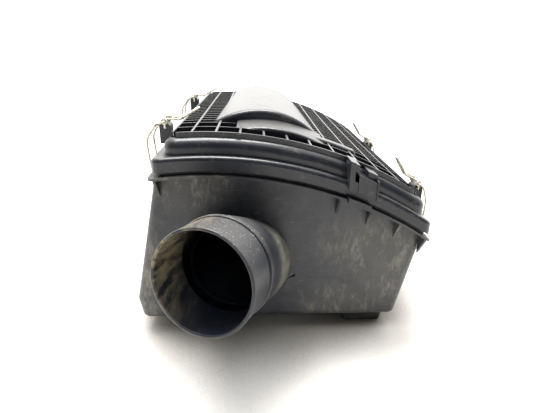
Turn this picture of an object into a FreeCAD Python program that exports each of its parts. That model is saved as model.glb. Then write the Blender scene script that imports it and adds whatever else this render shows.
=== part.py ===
"""Automotive air cleaner box: a ribbed, crowned lid held to a deep tub by four wire clips.

Units are millimetres. X runs across the box, Y from the inlet side to the outlet side, Z up.
The joint between lid and tub is crowned: every height on it drops away from a ridge line
along Y, as on a long shallow cylinder. A height measured on that ridge is called a level.
The finished assembly is moved so that the centre of its underside is the origin.
"""
import FreeCAD, Part
import math
import os

from FreeCAD import Matrix, Vector

os.makedirs("parts", exist_ok=True)

# ---- Driving dimensions ----
lid_left_x = -145.0
lid_right_x = 147.5
lid_depth = 400.0
crown_radius = 420.0
crown_ridge_x = -92.0
wall = 3.0
foot_height = 20.0
tub_height = 179.5
inlet_radius = 45.0
outlet_radius = 40.0
wire_radius = 1.1

# ---- Plan outline of the lid and the joint ----
corner_radius = 10.0
flange_overhang = {-1: 4.5, 1: 0.5}
front_overhang = 3.5
ledge_width = 9.0
side_ledge_width = {-1: 11.0, 1: 5.0}
drum_corner_radius = 15.0
shoulder_round = 10.0
rim_thickness = 7.0
rib_inset = rim_thickness + 1.6
grid_inset = ledge_width + rib_inset + 1.2
seat_inset = 22.0

# ---- Levels, measured on the ridge of the crown ----
flange_bottom = foot_height + tub_height
flange_top = flange_bottom + 2.5
skirt_bottom = flange_top + 4.0
gasket_top = skirt_bottom + 7.0
ledge_top = skirt_bottom + 14.5
shoulder_top = ledge_top + 16.0
roof_top = shoulder_top - 8.0
rib_top = shoulder_top + 5.0
duct_foot = shoulder_top + 1.5
pleat_bottom = flange_top - 45.0

# ---- Tub ----
tub_lean = {-1: 0.221, 1: 0.21}
tub_inset = 14.0
tub_left_x = -185.5
tub_right_x = 124.5
tub_corner_radius = 10.0
tub_floor_fillet = 8.0
tub_bevel = (10.0, 26.0)
gusset_height = 24.0
gusset_thickness = 2.6
front_gusset_x = (-142.0, 45.0, 79.0, 111.0, 141.0)
side_gusset_pitch = 62.0

# ---- Lid ribs and duct ----
long_rib_pitch = 24.0
long_rib_first_x = -105.0
long_rib_count = 10
cross_rib_pitch = 14.5
cross_rib_first_y = 86.0
border_row_y = (45.0, 70.0)
long_rib_thickness = 2.2
cross_rib_thickness = 1.6
duct_left_x = -92.0
duct_right_x = 36.0
duct_rise = 25.0
duct_front_y = 81.0
duct_back_y = lid_depth + 22.0
duct_fall = 5.6
apron_left_x = -62.0
apron_level = rib_top + 2.0
apron_rise = 8.5
apron_fall = 4.0
apron_right_x = 34.0
ridge_y = (58.0, 74.0)

# ---- Locating key at the front of the joint ----
key_left_x = 52.0
key_right_x = 81.0
key_reach = 9.0
tooth_x = -58.0

# ---- Ducts ----
inlet_lip = Vector(-84.0, -119.0, foot_height + 133.0)
inlet_yaw = math.radians(-22.0)
inlet_pitch = math.radians(9.0)
inlet_straight = 42.0
lip_round = 1.3
inlet_base = Vector(-60.0, tub_inset, foot_height + 73.0)
inlet_base_radius = 58.0
slot_corners = ((-10.0, 51.0), (3.0, 59.5), (2.0, 56.0))
outlet_height = 172.0
outlet_straight = 40.0
bead_height = 1.5
bead_width = 5.0

# ---- Clips ----
clip_rows_y = (48.0, 262.0)
clip_eye_x = {-1: -135.0, 1: 141.0}
clip_eye_above_shoulder = 13.5
lever_arm = 7.0
lever_half_width = 10.0
bail_half_width = 14.5
bail_bulge = {-1: 3.2, 1: 0.8}
tower_half_width = 7.5
pivot_clearance = 0.08
ring_tube_radius = 1.2

# ---- Feet ----
foot_size = (54.0, 44.0)
foot_x = (-125.0, 90.0)
foot_y = (51.0, 349.0)
foot_taper = 3.0
sleeve_radius = 6.5
bolt_hole_radius = 3.3

far = 900.0


def crown_drop(x):
    """How far the crowned surface lies below its ridge at x."""
    return crown_radius - math.sqrt(crown_radius ** 2 - (x - crown_ridge_x) ** 2)


def height_at(level, x):
    return level - crown_drop(x)


def crown_arc(level, x_from, x_to):
    ends = [Vector(x, -far / 2, height_at(level, x)) for x in (x_from, (x_from + x_to) / 2, x_to)]
    return Part.Arc(*ends).toShape()


def crown_slab(low, high):
    """Everything between two levels, over the whole plan."""
    reach = 200.0
    lower = crown_arc(low, -reach, reach)
    upper = crown_arc(high, -reach, reach)
    sides = [
        Part.makeLine(lower.Vertexes[0].Point, upper.Vertexes[0].Point),
        Part.makeLine(lower.Vertexes[-1].Point, upper.Vertexes[-1].Point),
    ]
    outline = Part.Wire(Part.__sortEdges__([lower, upper] + sides))
    return Part.Face(outline).extrude(Vector(0, 2 * far, 0))


def rounded_rectangle(x0, x1, y0, y1, radius, z=0.0):
    """A face with four straight sides and four quarter-circle corners."""
    edges = []
    corners = [(x1, y0, -90), (x1, y1, 0), (x0, y1, 90), (x0, y0, 180)]
    points = []
    for x, y, start in corners:
        centre = Vector(x - math.copysign(radius, x - (x0 + x1) / 2),
                        y - math.copysign(radius, y - (y0 + y1) / 2), z)
        arc = [centre + Vector(radius * math.cos(math.radians(start + turn)),
                               radius * math.sin(math.radians(start + turn)), 0)
               for turn in (0, 45, 90)]
        edges.append(Part.Arc(*arc).toShape())
        points.append((arc[0], arc[2]))
    for here, following in zip(points, points[1:] + points[:1]):
        edges.append(Part.makeLine(here[1], following[0]))
    return Part.Face(Part.Wire(Part.__sortEdges__(edges)))


def side_x(side):
    """The lid's left edge for side -1, its right edge for side 1."""
    return lid_left_x if side < 0 else lid_right_x


def lid_outline(inset):
    """The lid's plan, a given distance inside the skirt."""
    return rounded_rectangle(lid_left_x + inset, lid_right_x - inset,
                             inset, lid_depth - inset, max(corner_radius - inset, 6.0))


def drum_outline(inset):
    """The plan of the raised drum that stands on the lid's ledge."""
    return rounded_rectangle(lid_left_x + side_ledge_width[-1] + inset,
                             lid_right_x - side_ledge_width[1] - inset,
                             ledge_width + inset, lid_depth - ledge_width - inset,
                             drum_corner_radius - inset / 2)


def crowned(face, low, high):
    """A plan face raised into a solid between two levels."""
    return face.extrude(Vector(0, 0, far)).common(crown_slab(low, high))


def crowned_box(x0, x1, y0, y1, low, high):
    plan = Part.makeBox(x1 - x0, y1 - y0, far, Vector(x0, y0, 0))
    return plan.common(crown_slab(low, high))


# ---- Tub ----
def tub_section(inset, z):
    """The leaning tub's plan at height z. A bevel draws its left side in towards the floor."""
    height = z - foot_height
    bevel_width, bevel_height = tub_bevel
    bevel = bevel_width * max(0.0, 1 - height / bevel_height)
    return rounded_rectangle(tub_left_x + inset + tub_lean[-1] * height + bevel,
                             tub_right_x - inset + tub_lean[1] * height,
                             tub_inset + inset, lid_depth - tub_inset - inset,
                             tub_corner_radius - inset, z).OuterWire


def tub_prism(inset, bottom, top):
    """The tub as a solid, its plan shrunk by inset."""
    heights = (bottom, foot_height + tub_bevel[1], top)
    return Part.makeLoft([tub_section(inset, z) for z in heights], True, True)


def lowest_edges(shape, height):
    return [edge for edge in shape.Edges if abs(edge.BoundBox.ZMax - height) < 0.01]


def front_gusset(x):
    z = height_at(flange_bottom, x)
    points = [Vector(0, tub_inset + 1, z + 8), Vector(0, -1.0, z + 8), Vector(0, -1.0, z - 2),
              Vector(0, tub_inset + 1, z - gusset_height)]
    face = Part.Face(Part.makePolygon(points + points[:1]))
    face.translate(Vector(x - gusset_thickness / 2, 0, 0))
    return face.extrude(Vector(gusset_thickness, 0, 0))


def side_gusset(side, y):
    edge_x = side_x(side) + side * (flange_overhang[side] - 1.0)
    z = height_at(flange_bottom, edge_x)
    wall_x = edge_x - side * 6.0
    points = [Vector(wall_x, y, z + 10), Vector(edge_x, y, z + 10), Vector(edge_x, y, z - 2),
              Vector(wall_x - side * 4.0, y, z - gusset_height)]
    face = Part.Face(Part.makePolygon(points + points[:1]))
    return face.extrude(Vector(0, gusset_thickness, 0))


def tub_gussets():
    fronts = [front_gusset(x) for x in front_gusset_x]
    mirror = Matrix()
    mirror.A22 = -1
    mirror.A24 = lid_depth
    backs = [shape.transformGeometry(mirror) for shape in fronts]
    rows = [80.0 + side_gusset_pitch * step for step in range(5)]
    sides = [side_gusset(side, y) for side in (-1, 1) for y in rows if abs(y - clip_rows_y[1]) > 20]
    return fronts + backs + sides


def drain_slot():
    """A narrow wedge-shaped slot through the front wall, beside the inlet's collar."""
    corners = [Vector(x, tub_inset - 5, foot_height + rise) for x, rise in slot_corners]
    wedge = Part.Face(Part.makePolygon(corners + corners[:1]))
    return wedge.extrude(Vector(0, 12.0, 0))


def base_tub():
    top = flange_bottom + 10
    outer = tub_prism(0.0, foot_height, top)
    outer = outer.makeFillet(tub_floor_fillet, lowest_edges(outer, foot_height))
    inner = tub_prism(wall, foot_height + wall, top + 5)
    inner = inner.makeFillet(tub_floor_fillet - wall, lowest_edges(inner, foot_height + wall))
    under_flange = crown_slab(-far, flange_bottom + 0.5)
    body = outer.fuse(tub_gussets()).common(under_flange)
    plan = rounded_rectangle(lid_left_x - flange_overhang[-1], lid_right_x + flange_overhang[1],
                             -front_overhang, lid_depth + front_overhang, corner_radius)
    flange = crowned(plan, flange_bottom, flange_top)
    opening = crowned(lid_outline(seat_inset), flange_bottom - 20, flange_top + 5)
    key = crowned_box(key_left_x, key_right_x - 5, -key_reach, 1.0, flange_bottom, skirt_bottom - 0.4)
    body = body.cut(inner).fuse([flange.cut(opening), key])
    hole = Part.makeCylinder(inlet_base_radius - 2.0, 20.0,
                             inlet_base + Vector(0, -5, 0), Vector(0, 1, 0))
    return body.cut([hole, drain_slot()]).removeSplitter()


# ---- Lid ----
def rib_cells():
    """The pockets between the lid ribs, as boxes to be cut from the rib block."""
    long_ribs = [long_rib_first_x + long_rib_pitch * step for step in range(long_rib_count)]
    dense = []
    y = cross_rib_first_y
    while y < lid_depth - grid_inset - 6:
        dense.append(y)
        y += cross_rib_pitch
    border = rib_inset + 1.0
    columns = ([lid_left_x + side_ledge_width[-1] + border] + long_ribs
               + [lid_right_x - side_ledge_width[1] - border])
    rows = [grid_inset] + list(border_row_y) + dense + [lid_depth - grid_inset]
    cells = []
    for left, right in zip(columns, columns[1:]):
        for front, back in zip(rows, rows[1:]):
            cells.append(Part.makeBox(right - left - long_rib_thickness,
                                      back - front - cross_rib_thickness, far,
                                      Vector(left + long_rib_thickness / 2,
                                             front + cross_rib_thickness / 2, 0)))
    return cells


def arch_face(left_x, right_x, level, rise, y):
    """An arched section in an XZ plane, its feet at a crowned level and a flat root below them."""
    left = Vector(left_x, y, height_at(level, left_x))
    right = Vector(right_x, y, height_at(level, right_x))
    along = (right - left).normalize()
    crest = (left + right) / 2 + Vector(-along.z, 0, along.x) * rise
    root = Vector(0, 0, -10.0)
    edges = [Part.Arc(left, crest, right).toShape(), Part.makeLine(right, right + root),
             Part.makeLine(right + root, left + root), Part.makeLine(left + root, left)]
    return Part.Face(Part.Wire(edges))


def duct_face(y, grow=0.0, sink=0.0):
    """The section of the lid's duct, which falls a little towards the back."""
    fall = duct_fall * (y - duct_front_y) / (duct_back_y - duct_front_y)
    return arch_face(duct_left_x - grow, duct_right_x + grow, duct_foot - sink - fall,
                     duct_rise + grow, y)


def duct_run(front_y, back_y, grow=0.0, sink=0.0):
    """A straight length of the duct between two planes."""
    fall = duct_fall * (back_y - front_y) / (duct_back_y - duct_front_y)
    return duct_face(front_y, grow, sink).extrude(Vector(0, back_y - front_y, -fall))


def duct_outer():
    """The duct's barrel, closed by an upright front face with a rounded rim."""
    barrel = duct_run(duct_front_y, duct_back_y)
    rim = [edge for edge in barrel.Edges
           if edge.BoundBox.YLength < 0.01 and edge.BoundBox.YMax < duct_front_y + 1
           and edge.Curve.TypeId == "Part::GeomCircle"]
    return barrel.makeFillet(5.5, rim)


def apron():
    """The low arched step in front of the duct, with the ridge that runs from it to the key."""
    front_y = border_row_y[0]
    step = arch_face(apron_left_x, apron_right_x, apron_level - apron_fall, apron_rise, front_y)
    step = step.extrude(Vector(0, duct_front_y + 8 - front_y, apron_fall))
    rim = [edge for edge in step.Edges
           if edge.Curve.TypeId == "Part::GeomCircle" and edge.BoundBox.YMax < front_y + 1]
    plan = rounded_rectangle(apron_right_x - 20, key_left_x + 20, *ridge_y, 5.0)
    ridge = crowned(plan, roof_top - 1, rib_top + 2)
    return step.makeFillet(3.0, rim).fuse(ridge.makeFillet(4.0, upper_rim(ridge, rib_top + 2)))


def duct_cavity():
    return duct_run(duct_front_y + wall, duct_back_y + 1, -wall, wall)


def clip_centre(side, y):
    """Where a clip's eye axis crosses the middle of the clip."""
    x = clip_eye_x[side]
    return Vector(x, y, height_at(shoulder_top, x) + clip_eye_above_shoulder)


def clip_tower(side, y):
    """The moulded post that a clip lever turns on, without its pivot hole."""
    eye = clip_centre(side, y)
    pivot_z = eye.z - lever_arm
    x0, x1 = sorted((eye.x - side * 5.0, eye.x + side * 6.5))
    foot = height_at(ledge_top, side_x(side)) + 7.0
    block = Part.makeBox(x1 - x0, 2 * tower_half_width, pivot_z + 4.5 - foot,
                         Vector(x0, y - tower_half_width, foot))
    top_edges = [edge for edge in block.Edges
                 if edge.BoundBox.ZMin > pivot_z + 4.4 and edge.BoundBox.YLength > 1.0]
    return block.makeFillet(4.0, top_edges)


def pivot_hole(side, y):
    eye = clip_centre(side, y)
    start = Vector(eye.x, y - tower_half_width - 2, eye.z - lever_arm)
    return Part.makeCylinder(wire_radius + pivot_clearance, 2 * tower_half_width + 4,
                             start, Vector(0, 1, 0))


def each_clip():
    return [(side, y) for side in (-1, 1) for y in clip_rows_y]


def lid_key():
    """The L-shaped locating key on the lid's front face."""
    plate_x = key_left_x + 8.5
    notch_level = (skirt_bottom + 9, shoulder_top - 4)
    plate = crowned_box(plate_x, key_right_x, -key_reach, ledge_width + 1, *notch_level)
    column = crowned_box(key_left_x - 1, key_left_x + 4.0, -key_reach - 1, ledge_width + 1,
                         skirt_bottom + 8, rib_top + 2)
    bridge = crowned_box(key_left_x, plate_x + 1, -key_reach + 1, ledge_width + 1,
                         skirt_bottom + 9, shoulder_top - 12)
    head = crowned_box(key_left_x, plate_x, -key_reach + 1, grid_inset + 1,
                       shoulder_top - 2, rib_top + 1)
    lip = crowned_box(key_right_x - 10, key_right_x, -3.0, grid_inset + 1,
                      shoulder_top - 6, shoulder_top + 2.5)
    edge = crowned_box(key_right_x - 1.6, key_right_x, -key_reach - 1.2, 0.0,
                       skirt_bottom + 8, shoulder_top - 2)
    return [plate, column, bridge, head, lip, edge]


def border_tooth():
    """The small stop that stands in the trough in front of the rib grid."""
    grid_y = ledge_width + rib_inset
    return crowned_box(tooth_x - 2.2, tooth_x + 2.2, grid_y - 1.8, grid_y + 1.0,
                       roof_top - 1, rib_top - 0.6)


def upper_rim(solid, level, margin=0.6):
    """The edges of a crowned solid that run round its top face."""
    rim = []
    for edge in solid.Edges:
        spots = [edge.valueAt(edge.FirstParameter + share * (edge.LastParameter - edge.FirstParameter))
                 for share in (0.0, 0.37, 1.0)]
        if all(abs(spot.z - height_at(level, spot.x)) < margin for spot in spots):
            rim.append(edge)
    return rim


def lid_shell():
    skirt = crowned(lid_outline(0.0), skirt_bottom, ledge_top)
    skirt = skirt.makeFillet(4.0, upper_rim(skirt, ledge_top))
    drum = crowned(drum_outline(0.0), skirt_bottom + 5, shoulder_top)
    drum = drum.makeFillet(shoulder_round, upper_rim(drum, shoulder_top))
    well = crowned(drum_outline(rim_thickness), roof_top, rib_top + 5)
    shell = skirt.fuse(drum).cut(well)
    channel = crowned(lid_outline(wall), 0.0, ledge_top - wall)
    inner_wall = crowned(drum_outline(0.0), gasket_top + 0.3, ledge_top - 1)
    hollow = crowned(drum_outline(wall), 0.0, roof_top - wall)
    return shell.cut(channel).fuse(inner_wall).cut(hollow)


def lid():
    ribs = crowned(drum_outline(rib_inset), roof_top - 1, rib_top).cut(Part.makeCompound(rib_cells()))
    towers = [clip_tower(side, y) for side, y in each_clip()]
    extras = [apron(), duct_outer(), border_tooth()] + towers + lid_key()
    body = lid_shell().fuse([ribs] + extras)
    body = body.cut(duct_cavity())
    roof_window = crowned_box(duct_left_x + 6, duct_right_x - 6, duct_front_y + 6,
                              lid_depth - ledge_width - 8, roof_top - 20, roof_top + 2)
    body = body.cut(roof_window)
    holes = [pivot_hole(side, y) for side, y in each_clip()]
    return body.cut(Part.makeCompound(holes))


# ---- Ducts ----
def inlet_axis():
    """Unit vector along the inlet, pointing out of its mouth."""
    return Vector(math.sin(inlet_yaw) * math.cos(inlet_pitch),
                  -math.cos(inlet_yaw) * math.cos(inlet_pitch), math.sin(inlet_pitch))


def inlet_solid(shrink, overrun):
    """The inlet as a solid: tube, flare down to the tub wall, and the stub that plugs into it."""
    axis = inlet_axis()
    neck = inlet_lip - axis * inlet_straight
    tube = Part.makeCylinder(inlet_radius - shrink, inlet_straight + overrun, neck, axis)
    near = Part.Wire(Part.makeCircle(inlet_radius - shrink, neck, axis))
    root = Part.Wire(Part.makeCircle(inlet_base_radius - shrink, inlet_base, Vector(0, -1, 0)))
    flare = Part.makeLoft([near, root], True, True)
    stub = Part.makeCylinder(inlet_base_radius - 2.05 - shrink, wall + 4.0 + overrun,
                             inlet_base, Vector(0, 1, 0))
    return tube.fuse([flare, stub])


def hose_bead(centre, axis, radius):
    """The raised band that a hose is pushed up against."""
    band = Part.makeCylinder(radius + bead_height, bead_width, centre, axis)
    rims = [edge for edge in band.Edges if edge.Closed]
    return band.makeFillet(bead_height * 0.8, rims)


def inlet_duct():
    axis = inlet_axis()
    bead = hose_bead(inlet_lip - axis * (inlet_straight - 4), axis, inlet_radius)
    duct = inlet_solid(0.0, 0.0).fuse(bead).cut(inlet_solid(wall, 2.0))
    lip = [edge for edge in duct.Edges if edge.Closed
           and abs((edge.valueAt(0) - inlet_lip).dot(axis)) < 0.01]
    return duct.makeFillet(lip_round, lip)


def outlet_duct():
    """Turns the lid's arched duct into a round spigot behind the box."""
    centre_x = (duct_left_x + duct_right_x) / 2
    centre = Vector(centre_x, duct_back_y + 45.0, foot_height + outlet_height)
    forward = Vector(0, 1, 0)

    def ring(radius, y):
        return Part.Wire(Part.makeCircle(radius, Vector(centre.x, y, centre.z), forward))

    outer = Part.makeLoft([duct_face(duct_back_y, 0.0).OuterWire, ring(outlet_radius, centre.y)],
                          True, False)
    inner = Part.makeLoft([duct_face(duct_back_y, -wall, wall).OuterWire,
                           ring(outlet_radius - wall, centre.y)], True, False)
    tube = Part.makeCylinder(outlet_radius, outlet_straight, centre, forward)
    bead = hose_bead(centre + forward * 4.0, forward, outlet_radius)
    bore = Part.makeCylinder(outlet_radius - wall, outlet_straight + 2, centre, forward)
    return outer.fuse([tube, bead]).cut(inner.fuse(bore))


# ---- Filter element ----
def filter_frame():
    ring = crowned(lid_outline(5.0), flange_top + 0.3, gasket_top)
    return ring.cut(crowned(lid_outline(seat_inset + 2.0), flange_top - 5, gasket_top + 5))


def filter_pleats():
    inset = seat_inset + 1.5
    top = gasket_top - 2.0
    pack = crowned(lid_outline(inset), pleat_bottom, top)
    collar = crowned(lid_outline(seat_inset + 2.0), pleat_bottom, gasket_top)
    pack = pack.common(collar.fuse(crowned(lid_outline(inset), pleat_bottom, flange_top + 0.3)))
    pitch = 10.0
    paper = 1.0
    slots = []
    count = int((lid_depth - 2 * inset - 12) / pitch)
    for step in range(count):
        y = inset + 6 + pitch * step
        slots.append(crowned_box(lid_left_x, lid_right_x, y, y + pitch / 2 - paper,
                                 pleat_bottom + paper, top + 5))
        slots.append(crowned_box(lid_left_x, lid_right_x, y + pitch / 2, y + pitch - paper,
                                 pleat_bottom - 5, top - paper))
    inner = crowned(lid_outline(inset + 3.0), pleat_bottom - 10, top + 10)
    return pack.cut(Part.makeCompound(slots).common(inner))


# ---- Wire clips ----
def bent_wire(points, bends, radius):
    """A round wire through points, with each corner turned on an arc of its own radius."""
    edges = []
    start = points[0]
    for before, corner, after, bend in zip(points, points[1:], points[2:], bends):
        inward = (before - corner).normalize()
        outward = (after - corner).normalize()
        half_turn = inward.getAngle(outward) / 2
        setback = bend / math.tan(half_turn)
        entry = corner + inward * setback
        leave = corner + outward * setback
        to_centre = (inward + outward).normalize()
        middle = corner + to_centre * (bend / math.sin(half_turn) - bend)
        if (entry - start).Length > 0.01:
            edges.append(Part.makeLine(start, entry))
        edges.append(Part.Arc(entry, middle, leave).toShape())
        start = leave
    edges.append(Part.makeLine(start, points[-1]))
    path = Part.Wire(edges)
    section = Part.Wire(Part.makeCircle(radius, points[0], points[1] - points[0]))
    return path.makePipeShell([section], True, False)


def lever_point(side, eye, inward, up, y):
    return Vector(eye.x - side * inward, eye.y + y, eye.z + up)


def clip_lever(side, row_y):
    """Handle, eyes and pivot of one clip, bent from one wire."""
    eye = clip_centre(side, row_y)
    ring_radius = ring_tube_radius + wire_radius + 0.08
    slope = math.asin((crown_ridge_x - eye.x) / crown_radius) * -side
    low = math.radians(-11.0) + slope
    high = math.radians(25.0) + slope
    elbow = (15.0 * math.cos(low), 15.0 * math.sin(low) + ring_radius)
    belly = (elbow[0] + 12.0 * math.cos(high), elbow[1] + 12.0 * math.sin(high))
    tip = (elbow[0] + 23.0 * math.cos(high), elbow[1] + 23.0 * math.sin(high))
    rings = [Part.makeTorus(ring_radius, ring_tube_radius,
                            lever_point(side, eye, 0, 0, y), Vector(0, 1, 0))
             for y in (-lever_half_width, lever_half_width)]

    def at(inward, up, y):
        return lever_point(side, eye, inward, up, y)

    pivot = bent_wire([at(0, -ring_radius, -lever_half_width), at(0, -lever_arm, -lever_half_width),
                       at(0, -lever_arm, lever_half_width), at(0, -ring_radius, lever_half_width)],
                      (1.6, 1.6), wire_radius)
    near = [at(0, ring_radius, -lever_half_width), at(elbow[0], elbow[1], -4.0),
            at(belly[0], belly[1], -5.5), at(tip[0], tip[1], -2.6)]
    far_side = [at(tip[0], tip[1], 2.6), at(belly[0], belly[1], 5.5),
                at(elbow[0], elbow[1], 4.0), at(0, ring_radius, lever_half_width)]
    handle = bent_wire(near + far_side, (1.8,) * 6, wire_radius)
    return pivot.fuse(rings + [handle])


def clip_bail(side, row_y):
    """The bowed loop that hangs from a lever's eyes and pulls on the tub flange."""
    eye = clip_centre(side, row_y)
    flange_edge = side_x(side) + side * flange_overhang[side]
    hook_z = height_at(flange_bottom, flange_edge) - wire_radius - 1.2
    out = abs(flange_edge - eye.x) + wire_radius + 0.4
    drop = eye.z - hook_z

    def leg(y):
        return [Vector(eye.x + side * reach, row_y + y, eye.z - fall)
                for reach, fall in ((0.0, 0.0), (out * 0.5, drop * 0.05),
                                    (out + bail_bulge[side], drop * 0.32),
                                    (out + bail_bulge[side] * 0.56, drop * 0.7), (out, drop))]

    down = leg(-bail_half_width)
    up = leg(bail_half_width)[::-1]
    inner_end = lever_half_width - ring_tube_radius - 0.6
    start = Vector(eye.x, row_y - inner_end, eye.z)
    end = Vector(eye.x, row_y + inner_end, eye.z)
    leg_bends = (2.0, 4.0, 18.0, 18.0, 2.0)
    return bent_wire([start] + down + up + [end], leg_bends + leg_bends[::-1], wire_radius)


# ---- Feet ----
def foot(x, y):
    width, depth = foot_size
    low = rounded_rectangle(x - width / 2 + foot_taper, x + width / 2 - foot_taper,
                            y - depth / 2 + foot_taper, y + depth / 2 - foot_taper, 5.0, 0.0)
    high = rounded_rectangle(x - width / 2, x + width / 2, y - depth / 2, y + depth / 2, 5.0,
                             foot_height)
    block = Part.makeLoft([low.OuterWire, high.OuterWire], True, True)
    return block.cut(Part.makeCylinder(sleeve_radius, foot_height - 4, Vector(x, y, 0)))


def foot_sleeve(x, y):
    sleeve = Part.makeCylinder(sleeve_radius, foot_height - 4, Vector(x, y, 0))
    return sleeve.cut(Part.makeCylinder(bolt_hole_radius, foot_height - 7, Vector(x, y, 0)))


def clip_name(side, row_y):
    across = "left" if side < 0 else "right"
    along = "front" if row_y == clip_rows_y[0] else "rear"
    return across + "_" + along


def foot_name(x, y):
    across = "left" if x == foot_x[0] else "right"
    along = "front" if y == foot_y[0] else "rear"
    return across + "_" + along


def build():
    shapes = {
        "base_tub": base_tub(),
        "inlet_duct": inlet_duct(),
        "lid": lid(),
        "outlet_duct": outlet_duct(),
        "filter_frame": filter_frame(),
        "filter_pleats": filter_pleats(),
    }
    for side, row_y in each_clip():
        shapes["clip_lever_" + clip_name(side, row_y)] = clip_lever(side, row_y)
        shapes["clip_bail_" + clip_name(side, row_y)] = clip_bail(side, row_y)
    for x in foot_x:
        for y in foot_y:
            shapes["foot_" + foot_name(x, y)] = foot(x, y)
            shapes["foot_sleeve_" + foot_name(x, y)] = foot_sleeve(x, y)
    return shapes


def underside_centre(shapes):
    box = Part.makeCompound(list(shapes.values())).optimalBoundingBox()
    return Vector((box.XMin + box.XMax) / 2, (box.YMin + box.YMax) / 2, box.ZMin)


pieces = build()
origin = underside_centre(pieces)
for name, shape in pieces.items():
    shape.translate(origin * -1)
    shape.exportStep("parts/" + name + ".step")
    print(name, "valid", shape.isValid(), "solids", len(shape.Solids), "volume", round(shape.Volume))
print("origin", origin)
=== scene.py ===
"""Looks for the air cleaner box: a worn black plastic housing on a pale studio floor.

Lengths are metres in the row frame: X across the box, Y from inlet to outlet, Z up.
"""

import math

import bpy
from mathutils import Matrix, Vector


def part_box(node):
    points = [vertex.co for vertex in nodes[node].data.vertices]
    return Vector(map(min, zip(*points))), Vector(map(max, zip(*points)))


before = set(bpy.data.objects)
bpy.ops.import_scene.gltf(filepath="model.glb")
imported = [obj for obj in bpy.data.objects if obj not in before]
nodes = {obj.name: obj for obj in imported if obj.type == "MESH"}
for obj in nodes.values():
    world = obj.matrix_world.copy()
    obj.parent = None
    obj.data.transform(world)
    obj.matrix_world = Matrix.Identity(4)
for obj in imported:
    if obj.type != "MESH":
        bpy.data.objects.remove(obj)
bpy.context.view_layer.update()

# ---- Places worked out from the frame ----
lid_low, lid_high = (Vector(corner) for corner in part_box("lid"))
tub_low, tub_high = (Vector(corner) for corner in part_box("base_tub"))
inlet_low, inlet_high = (Vector(corner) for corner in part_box("inlet_duct"))
tub_size = tub_high - tub_low
box_middle = (tub_low + lid_high) / 2
KEY_SHELF = 0.009  # how far the tub's locating block stands out in front of the lid's skirt
WALL_SETBACK = 0.014  # how far the tub's wall lies behind the skirt
skirt_front_y = tub_low.y + KEY_SHELF
wall_front_y = skirt_front_y + WALL_SETBACK

# ---- Camera, as an offset from the lid's front left corner on the floor ----
CAMERA_OFFSET = Vector((0.1045, -0.380, 0.322))
camera_place = Vector((lid_low.x, skirt_front_y, 0.0)) + CAMERA_OFFSET
CAMERA_RIGHT = Vector((0.999, -0.044, 0.011))
CAMERA_UP = Vector((0.006, 0.375, 0.927))
CAMERA_LENS = 26.18  # millimetres
SENSOR_WIDTH = 36.0  # millimetres

# ---- Dust on the inlet, as offsets from corners of its box ----
MOUTH_DUST_OFFSET = Vector((0.020, 0.040, -0.035))  # from the left, front, top corner
COLLAR_DUST_OFFSET = Vector((-0.010, -0.040, 0.085))  # from the right, back, bottom corner
MOUTH_DUST_RADII = (0.06, 0.06, 0.06)
COLLAR_DUST_RADII = (0.05, 0.06, 0.06)
SPECKLED_DEPTHS = (0.040, 0.015)  # below the pipe's top: where the specks and the painted sheen begin, and are full
PATCH_THICKNESS = 0.06  # how far a dirt patch on the tub reaches into and out of its wall

# ---- Floor and surroundings ----
FLOOR_SIZE = 14.0
GREYER_REACH = 1.3  # how far about the box the floor is a little greyer
CONTACT_REACH = 0.12  # how close the box has to be to darken the floor with painted shadow
FLOOR_GLOW = 0.36
WORLD_STRENGTH = (0.17, 2.1)  # on the camera's side, and behind the box
WORLD_TURN = (-0.5, 0.6)  # the Y parts of the directions where the two begin

# ---- Colours ----
BLACK_PLASTIC = (0.010, 0.012, 0.018, 1.0)
GREY_PLASTIC = (0.032, 0.034, 0.040, 1.0)
DUST_TAN = (0.27, 0.26, 0.215, 1.0)
DUST_OCHRE = (0.30, 0.25, 0.15, 1.0)
# Pale dust; on the lid's upward faces and on the inlet pipe's top it also serves as painted sheen.
DUST_PALE_AND_SHEEN = (0.50, 0.48, 0.43, 1.0)
# Painted shade for the lid's crevices and cells.
PAINTED_SHADE_BLACK = (0.004, 0.004, 0.005, 1.0)
FOAM_GREY = (0.05, 0.05, 0.055, 1.0)
RUBBER_BLACK = (0.026, 0.026, 0.027, 1.0)
PAPER_CLEAN = (0.62, 0.53, 0.33, 1.0)
PAPER_DIRTY = (0.30, 0.25, 0.17, 1.0)
ZINC_BRIGHT = (0.86, 0.83, 0.72, 1.0)
ZINC_YELLOWED = (0.62, 0.57, 0.44, 1.0)
RUST_BROWN = (0.16, 0.085, 0.04, 1.0)
FLOOR_WHITE = (0.96, 0.96, 0.95, 1.0)
FLOOR_SHADE = (0.29, 0.26, 0.22, 1.0)
FLOOR_NEAR = ((0.82, 0.79, 0.75, 1.0), (0.86, 0.83, 0.79, 1.0))
GLOW_WARM = (1.0, 0.98, 0.95, 1.0)


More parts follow.
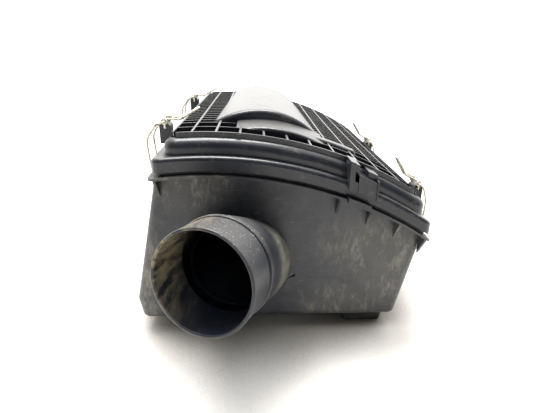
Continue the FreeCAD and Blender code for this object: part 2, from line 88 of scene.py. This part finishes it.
# ---- Node helpers ----
class Shader:
    """A node tree with short calls for the few node kinds the materials use."""

    def __init__(self, name):
        self.material = bpy.data.materials.new(name)
        self.material.use_nodes = True
        self.tree = self.material.node_tree
        self.surface = self.tree.nodes["Principled BSDF"]
        self.coords = self.node("ShaderNodeTexCoord").outputs["Object"]

    def node(self, kind):
        """Adds a node of one kind."""
        return self.tree.nodes.new(kind)

    def feed(self, socket, value):
        """Links an output, or sets a constant."""
        if isinstance(value, bpy.types.NodeSocket):
            self.tree.links.new(value, socket)
        else:
            socket.default_value = value

    def noise(self, scale, detail=4.0, roughness=0.6, stretch=(1, 1, 1), distortion=0.0):
        """Cloudy noise, finer along any axis whose stretch is above one."""
        place = self.node("ShaderNodeMapping")
        place.inputs["Scale"].default_value = stretch
        self.feed(place.inputs["Vector"], self.coords)
        texture = self.node("ShaderNodeTexNoise")
        self.feed(texture.inputs["Vector"], place.outputs["Vector"])
        self.feed(texture.inputs["Scale"], scale)
        self.feed(texture.inputs["Detail"], detail)
        self.feed(texture.inputs["Roughness"], roughness)
        self.feed(texture.inputs["Distortion"], distortion)
        return texture.outputs["Fac"]

    def ramp(self, value, low, high, out_low=0.0, out_high=1.0):
        """Smooth step of value from low to high."""
        remap = self.node("ShaderNodeMapRange")
        remap.interpolation_type = "SMOOTHSTEP"
        self.feed(remap.inputs["Value"], value)
        for name, number in (("From Min", low), ("From Max", high),
                             ("To Min", out_low), ("To Max", out_high)):
            self.feed(remap.inputs[name], number)
        return remap.outputs["Result"]

    def math(self, operation, a, b=0.0):
        """One arithmetic step on two values."""
        node = self.node("ShaderNodeMath")
        node.operation = operation
        self.feed(node.inputs[0], a)
        self.feed(node.inputs[1], b)
        return node.outputs[0]

    def times(self, *values):
        """The product of several values."""
        product = values[0]
        for value in values[1:]:
            product = self.math("MULTIPLY", product, value)
        return product

    def mix(self, factor, a, b):
        """Colour a where factor is zero, colour b where it is one."""
        node = self.node("ShaderNodeMix")
        node.data_type = "RGBA"
        self.feed(node.inputs["Factor"], factor)
        self.feed(node.inputs["A"], a)
        self.feed(node.inputs["B"], b)
        return node.outputs["Result"]

    def axis(self, name, source=None):
        """One coordinate of the place, or of another vector."""
        split = self.node("ShaderNodeSeparateXYZ")
        self.feed(split.inputs[0], source or self.coords)
        return split.outputs[name]

    def near(self, centre, radii):
        """One inside an ellipsoid about a place, falling softly to nothing at its skin."""
        place = self.node("ShaderNodeMapping")
        place.vector_type = "TEXTURE"
        self.feed(place.inputs["Vector"], self.coords)
        place.inputs["Location"].default_value = centre
        place.inputs["Scale"].default_value = radii
        length = self.node("ShaderNodeVectorMath")
        length.operation = "LENGTH"
        self.feed(length.inputs[0], place.outputs["Vector"])
        return self.ramp(length.outputs["Value"], 1.0, 0.3)

    def most(self, values):
        """The greatest of several values."""
        greatest = values[0]
        for value in values[1:]:
            greatest = self.math("MAXIMUM", greatest, value)
        return greatest

    def open_air(self, reach, own_piece_only=True):
        """One where nothing stands near the surface, zero deep in a corner or a cell."""
        shade = self.node("ShaderNodeAmbientOcclusion")
        shade.samples = 8
        shade.only_local = own_piece_only
        shade.inputs["Distance"].default_value = reach
        return shade.outputs["AO"]

    def facing(self, name):
        """One part of the surface normal: X, Y or Z."""
        geometry = self.node("ShaderNodeNewGeometry")
        return self.axis(name, geometry.outputs["Normal"])

    def grain(self, strength, scale=900.0, detail=2.0, roughness=0.5, depth=0.0004):
        """A surface normal roughened by fine noise."""
        node = self.node("ShaderNodeBump")
        self.feed(node.inputs["Height"], self.noise(scale, detail, roughness))
        self.feed(node.inputs["Strength"], strength)
        self.feed(node.inputs["Distance"], depth)
        return node.outputs["Normal"]

    def glow(self, colour, strength):
        """Makes the surface give off some light of its own."""
        self.feed(self.surface.inputs["Emission Color"], colour)
        self.feed(self.surface.inputs["Emission Strength"], strength)

    def finish(self, colour, roughness, normal=None, metallic=0.0, gloss=0.5):
        """Sets the surface's last few inputs and gives back the material."""
        self.feed(self.surface.inputs["Base Color"], colour)
        self.feed(self.surface.inputs["Roughness"], roughness)
        self.feed(self.surface.inputs["Metallic"], metallic)
        self.feed(self.surface.inputs["Specular IOR Level"], gloss)
        if normal is not None:
            self.feed(self.surface.inputs["Normal"], normal)
        return self.material


# ---- Materials ----
def moulded(sh, grey=1.0):
    """The mottled colour of bare black polypropylene."""
    mottle = sh.ramp(sh.noise(26.0, 6.0, 0.7), 0.35, 0.7, 0.0, grey)
    return sh.mix(mottle, BLACK_PLASTIC, GREY_PLASTIC)


def scratches(sh, stretch, amount):
    """Thin pale scuffs, drawn out along the axes that are stretched least."""
    return sh.ramp(sh.noise(60.0, 4.0, 0.6, stretch, 0.4), 0.62, 0.74, 0.0, amount)


def tub_plastic(name, patches):
    """Dusty black plastic, with dried dirt where a list of (centre, radii) says."""
    sh = Shader(name)
    dirty = sh.most([sh.near(centre, radii) for centre, radii in patches])
    blotches = sh.ramp(sh.noise(90.0, 10.0, 0.85, (1.0, 1.0, 0.4)), 0.47, 0.66)
    film = sh.times(dirty, 0.14)
    specks = sh.ramp(sh.noise(260.0, 3.0, 0.6), 0.60, 0.72, 0.0, 0.25)
    dirt = sh.math("ADD", film, sh.times(dirty, blotches, 0.6))
    dirt = sh.math("ADD", dirt, sh.times(specks, blotches))
    colour = sh.mix(sh.math("MINIMUM", dirt, 0.9), moulded(sh), DUST_TAN)
    colour = sh.mix(scratches(sh, (1.0, 1.0, 12.0), 0.12), colour, DUST_PALE_AND_SHEEN)
    roughness = sh.math("ADD", 0.42, sh.times(dirt, 0.35))
    return sh.finish(colour, roughness, sh.grain(0.15))


def lid_plastic(name):
    """Smoother black plastic, pale on every upward face that stands clear, partly dust and partly
    painted sheen, with painted shade in its crevices and cells.
    """
    sh = Shader(name)
    # Upward faces clear of their surroundings turn pale: dust, plus a painted sheen standing in for
    # the reflection of the white surroundings.
    exposed_dust_and_sheen = sh.ramp(sh.open_air(0.02), 0.72, 0.98)
    upward = sh.ramp(sh.facing("Z"), 0.6, 0.98)
    colour = sh.mix(sh.times(exposed_dust_and_sheen, upward, 0.15), moulded(sh, 0.6), DUST_PALE_AND_SHEEN)
    scuffs = sh.ramp(sh.noise(45.0, 8.0, 0.75), 0.55, 0.72, 0.0, 0.28)
    colour = sh.mix(scuffs, colour, DUST_TAN)
    # Painted shade: the colour darkens towards black in crevices and deep in the grid's cells.
    painted_shade_mask = sh.ramp(sh.open_air(0.012), 0.25, 0.75, 0.35, 1.0)
    colour = sh.mix(painted_shade_mask, PAINTED_SHADE_BLACK, colour)
    roughness = sh.math("ADD", 0.28, sh.times(scuffs, 0.7))
    return sh.finish(colour, roughness, sh.grain(0.10), gloss=0.42)


def inlet_plastic(name, dusty_inside, dusty_collar, top_band):
    """Semi-gloss pipe: pale specks on top over a thin painted sheen, with dried dust inside its mouth
    and on its collar.
    """
    sh = Shader(name)
    top_dust_and_sheen = sh.times(sh.ramp(sh.facing("Z"), 0.2, 0.9), sh.ramp(sh.axis("Z"), *top_band))
    # Pale specks on the pipe's top faces, over an even thin pale film there that is painted sheen.
    specks = sh.ramp(sh.noise(650.0, 2.0, 0.6), 0.62, 0.70, 0.10, 0.80)
    colour = sh.mix(sh.times(specks, top_dust_and_sheen), moulded(sh, 0.35), DUST_PALE_AND_SHEEN)
    streaks = sh.ramp(sh.noise(120.0, 6.0, 0.7, (1.0, 0.12, 1.0)), 0.38, 0.62)
    ochre = sh.times(sh.near(*dusty_inside), streaks, 0.7)
    colour = sh.mix(ochre, colour, DUST_OCHRE)
    on_collar = sh.near(*dusty_collar)
    grime = sh.times(on_collar, sh.ramp(sh.noise(110.0, 10.0, 0.85), 0.40, 0.62, 0.18, 0.9))
    colour = sh.mix(grime, colour, DUST_TAN)
    scored = sh.times(sh.math("MAXIMUM", on_collar, 0.25), scratches(sh, (9.0, 1.0, 2.0), 0.8))
    colour = sh.mix(scored, colour, DUST_PALE_AND_SHEEN)
    roughness = sh.math("ADD", 0.36, sh.times(sh.math("ADD", ochre, grime), 0.4))
    return sh.finish(colour, roughness, sh.grain(0.12, 700.0, 3.0), gloss=0.38)


def rubber(name, colour):
    """Dull rubber or foam, rubbed dusty in places."""
    sh = Shader(name)
    wear = sh.ramp(sh.noise(60.0, 6.0, 0.7), 0.45, 0.75, 0.0, 0.5)
    roughness = sh.ramp(wear, 0.0, 1.0, 0.7, 0.9)
    return sh.finish(sh.mix(wear, colour, DUST_TAN), roughness, sh.grain(0.2, 700.0, 4.0, 0.6, 0.0005))


def paper(name):
    """Fibrous filter paper, browned by the dust it holds."""
    sh = Shader(name)
    dirt = sh.ramp(sh.noise(22.0, 6.0, 0.7), 0.35, 0.75)
    return sh.finish(sh.mix(dirt, PAPER_CLEAN, PAPER_DIRTY), 0.92, sh.grain(0.35, 1400.0, 3.0, 0.7))


def zinc_wire(name):
    """Yellowed zinc plate with brown rust, worst in patches."""
    sh = Shader(name)
    plate = sh.mix(sh.ramp(sh.noise(150.0, 4.0), 0.4, 0.65), ZINC_BRIGHT, ZINC_YELLOWED)
    rust = sh.ramp(sh.noise(90.0, 7.0, 0.75), 0.54, 0.66)
    metallic = sh.ramp(rust, 0.0, 1.0, 0.55, 0.1)
    roughness = sh.ramp(rust, 0.0, 1.0, 0.42, 0.85)
    normal = sh.grain(0.3, 1800.0, 4.0, 0.7, 0.0003)
    return sh.finish(sh.mix(rust, plate, RUST_BROWN), roughness, normal, metallic)


def pale_floor(name):
    """White far off, a little greyer about the box, and darkened by a painted shadow where the box
    stands close.

    It glows faintly, as painted light, so that the broad shadow stays pale, as on a lit white table.
    """
    sh = Shader(name)
    tone = sh.mix(sh.noise(3.0), *FLOOR_NEAR)
    tone = sh.mix(sh.near((0.0, 0.0, 0.0), (GREYER_REACH,) * 3), FLOOR_WHITE, tone)
    # Painted shadow: near the box the floor darkens to FLOOR_SHADE and stops glowing.
    clear = sh.ramp(sh.open_air(CONTACT_REACH, own_piece_only=False), 0.35, 0.95)
    sh.glow(GLOW_WARM, sh.times(clear, FLOOR_GLOW))
    return sh.finish(sh.mix(clear, FLOOR_SHADE, tone), 0.8)


# ---- Which piece wears what ----
def dress(material, names):
    """Gives every named piece one material."""
    for name in names:
        slots = nodes[name].data.materials
        slots.clear()
        slots.append(material)


def tub_patches():
    """Where dirt has dried on the tub: its left corner, under the flange and at the lower right."""

    def spot(across, up, wide, tall):
        """A patch on the front wall, placed and sized as shares of the tub's width and height."""
        centre = (tub_low.x + across * tub_size.x, wall_front_y, tub_low.z + up * tub_size.z)
        return centre, (wide * tub_size.x, PATCH_THICKNESS, tall * tub_size.z)

    return [
        spot(0.03, 0.45, 0.09, 0.70),
        spot(0.20, 0.92, 0.22, 0.22),
        spot(0.83, 0.52, 0.26, 0.30),
        spot(0.90, 0.30, 0.22, 0.34),
        spot(0.72, 0.10, 0.20, 0.22),
    ]


def dress_ducts():
    """The inlet is dusty in the upper left of its mouth and on the right of its collar."""
    mouth = Vector((inlet_low.x, inlet_low.y, inlet_high.z)) + MOUTH_DUST_OFFSET
    collar = Vector((inlet_high.x, inlet_high.y, inlet_low.z)) + COLLAR_DUST_OFFSET
    top_band = [inlet_high.z - depth for depth in SPECKLED_DEPTHS]
    inlet = inlet_plastic("inlet_plastic", (mouth, MOUTH_DUST_RADII),
                          (collar, COLLAR_DUST_RADII), top_band)
    dress(inlet, ["inlet_duct"])
    dress(lid_plastic("outlet_plastic"), ["outlet_duct"])


def dress_box():
    """Everything but the two ducts."""
    sleeves = [name for name in nodes if name.startswith("foot_sleeve_")]
    feet = [name for name in nodes if name.startswith("foot_") and name not in sleeves]
    clips = [name for name in nodes if name.startswith("clip_")]
    dress(tub_plastic("tub_plastic", tub_patches()), ["base_tub"])
    dress(lid_plastic("lid_plastic"), ["lid"])
    dress(rubber("gasket_foam", FOAM_GREY), ["filter_frame"])
    dress(paper("filter_paper"), ["filter_pleats"])
    dress(rubber("foot_rubber", RUBBER_BLACK), feet)
    dress(zinc_wire("clip_wire"), clips)
    dress(zinc_wire("sleeve_steel"), sleeves)


# ---- Floor, light and camera ----
def studio_floor():
    bpy.ops.mesh.primitive_plane_add(size=FLOOR_SIZE, location=(0.0, 0.0, 0.0))
    floor = bpy.context.object
    floor.name = "studio_floor"
    floor.data.materials.append(pale_floor("floor_white"))


def hang_lamp(name, data, place, aim):
    """Adds a lamp at a place, turned towards another."""
    lamp = bpy.data.objects.new(name, data)
    bpy.context.collection.objects.link(lamp)
    lamp.location = place
    lamp.rotation_euler = (aim - place).to_track_quat("-Z", "Y").to_euler()


def softbox(name, offset, size, power):
    """A rectangular lamp at an offset from the middle of the box, aimed at it."""
    data = bpy.data.lights.new(name, "AREA")
    data.shape = "RECTANGLE"
    data.size, data.size_y = size
    data.energy = power
    hang_lamp(name, data, box_middle + Vector(offset), box_middle)


def camera_fill():
    """A weak cool spot beside the camera that reaches into the inlet's mouth."""
    data = bpy.data.lights.new("camera_fill", "SPOT")
    data.energy = 2.2
    data.color = (0.75, 0.86, 1.0)
    data.spot_size = math.radians(36.0)
    data.spot_blend = 1.0
    data.shadow_soft_size = 0.06
    inlet_middle = (inlet_low + inlet_high) / 2
    hang_lamp("camera_fill", data, camera_place, Vector((inlet_middle.x, inlet_low.y, inlet_middle.z)))


def studio_world():
    """White surroundings, dim only on the camera's side."""
    world = bpy.data.worlds.new("studio")
    world.use_nodes = True
    tree = world.node_tree
    background = tree.nodes["Background"]
    background.inputs["Color"].default_value = (1.0, 0.985, 0.96, 1.0)
    coords = tree.nodes.new("ShaderNodeTexCoord")
    split = tree.nodes.new("ShaderNodeSeparateXYZ")
    remap = tree.nodes.new("ShaderNodeMapRange")
    remap.interpolation_type = "SMOOTHSTEP"
    for name, number in zip(("From Min", "From Max", "To Min", "To Max"),
                            WORLD_TURN + WORLD_STRENGTH):
        remap.inputs[name].default_value = number
    tree.links.new(coords.outputs["Generated"], split.inputs[0])
    tree.links.new(split.outputs["Y"], remap.inputs["Value"])
    tree.links.new(remap.outputs["Result"], background.inputs["Strength"])
    bpy.context.scene.world = world


def studio_light():
    bpy.context.scene.view_settings.view_transform = "Standard"
    studio_world()
    softbox("top_box", offset=(-0.12, 0.16, 1.25), size=(1.0, 0.5), power=36.0)
    softbox("front_strip", offset=(0.10, -0.50, 1.05), size=(1.3, 0.35), power=3.5)
    camera_fill()


def photo_camera():
    """The camera, turned so that its right and up lie along the two directions named above."""
    data = bpy.data.cameras.new("camera")
    data.sensor_width = SENSOR_WIDTH
    data.lens = CAMERA_LENS
    data.clip_start = 0.01
    camera = bpy.data.objects.new("camera", data)
    bpy.context.collection.objects.link(camera)
    right = CAMERA_RIGHT.normalized()
    up = (CAMERA_UP - right * CAMERA_UP.dot(right)).normalized()
    turn = Matrix((right, up, right.cross(up))).transposed().to_4x4()
    camera.matrix_world = Matrix.Translation(camera_place) @ turn
    bpy.context.scene.camera = camera


dress_box()
dress_ducts()
studio_floor()
studio_light()
photo_camera()
